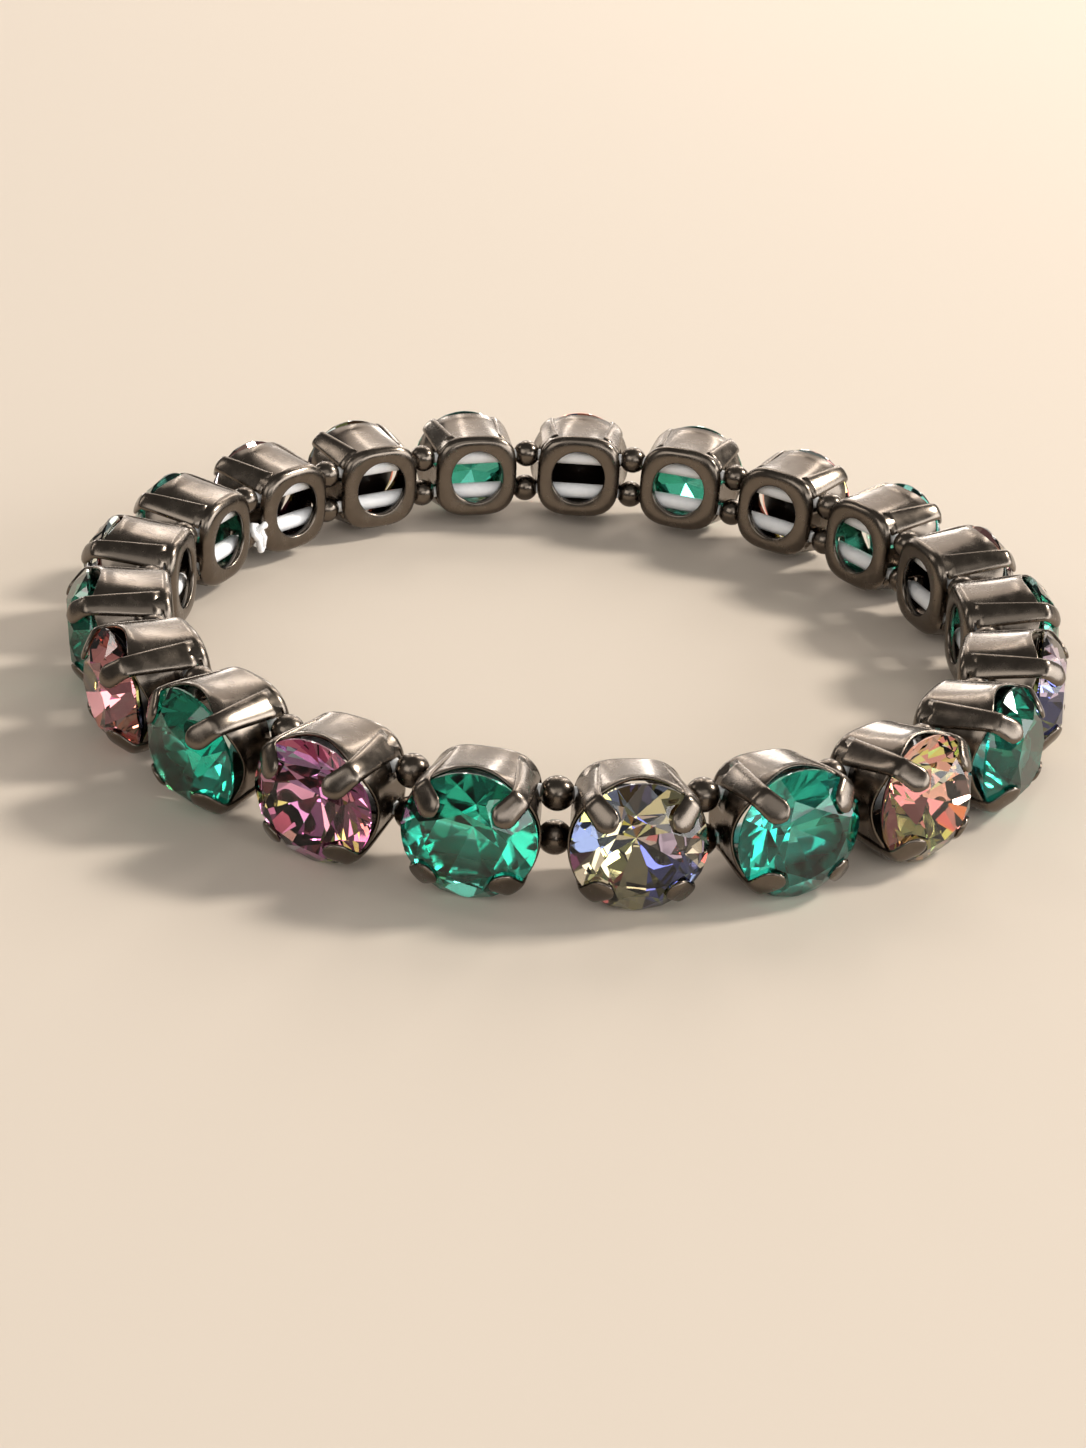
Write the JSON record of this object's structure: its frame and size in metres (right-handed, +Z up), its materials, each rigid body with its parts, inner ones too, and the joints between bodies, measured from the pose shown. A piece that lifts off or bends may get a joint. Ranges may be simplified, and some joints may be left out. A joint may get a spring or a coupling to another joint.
{
  "type": "crystal stretch bracelet",
  "caption": "Stretch bracelet of round crystals in dark four-prong settings, threaded side by side on two elastic cords with small metal beads between them, lying on its side.",
  "frame": {"origin": "middle of the bracelet's bounding box, on the surface it lies on", "axes": "+Z up, along the axis of the wrist opening; -Y towards the front of the loop"},
  "size_m": [0.0708, 0.0706, 0.0086],
  "materials": {
    "gunmetal": "black nickel plate, polished with a slightly satin surface",
    "emerald_crystal": "faceted emerald green glass, foiled behind",
    "rainbow_crystal": "faceted glass with a multicolour metallic coating",
    "elastic_cord": "translucent white elastic"
  },
  "bodies": {
    "root": {"setting_01": "gunmetal", "setting_02": "gunmetal", "setting_03": "gunmetal", "setting_04": "gunmetal", "setting_05": "gunmetal", "setting_06": "gunmetal", "setting_07": "gunmetal", "setting_08": "gunmetal", "setting_09": "gunmetal", "setting_10": "gunmetal", "setting_11": "gunmetal", "setting_12": "gunmetal", "setting_13": "gunmetal", "setting_14": "gunmetal", "setting_15": "gunmetal", "setting_16": "gunmetal", "setting_17": "gunmetal", "setting_18": "gunmetal", "setting_19": "gunmetal", "setting_20": "gunmetal", "setting_21": "gunmetal", "crystal_01": "emerald_crystal", "crystal_02": "rainbow_crystal", "crystal_03": "emerald_crystal", "crystal_04": "rainbow_crystal", "crystal_05": "emerald_crystal", "crystal_06": "rainbow_crystal", "crystal_07": "emerald_crystal", "crystal_08": "rainbow_crystal", "crystal_09": "emerald_crystal", "crystal_10": "rainbow_crystal", "crystal_11": "emerald_crystal", "crystal_12": "rainbow_crystal", "crystal_13": "emerald_crystal", "crystal_14": "rainbow_crystal", "crystal_15": "rainbow_crystal", "crystal_16": "emerald_crystal", "crystal_17": "rainbow_crystal", "crystal_18": "emerald_crystal", "crystal_19": "rainbow_crystal", "crystal_20": "emerald_crystal", "crystal_21": "rainbow_crystal", "upper_strand": "gunmetal", "lower_strand": "gunmetal"}
  },
  "joints": []
}
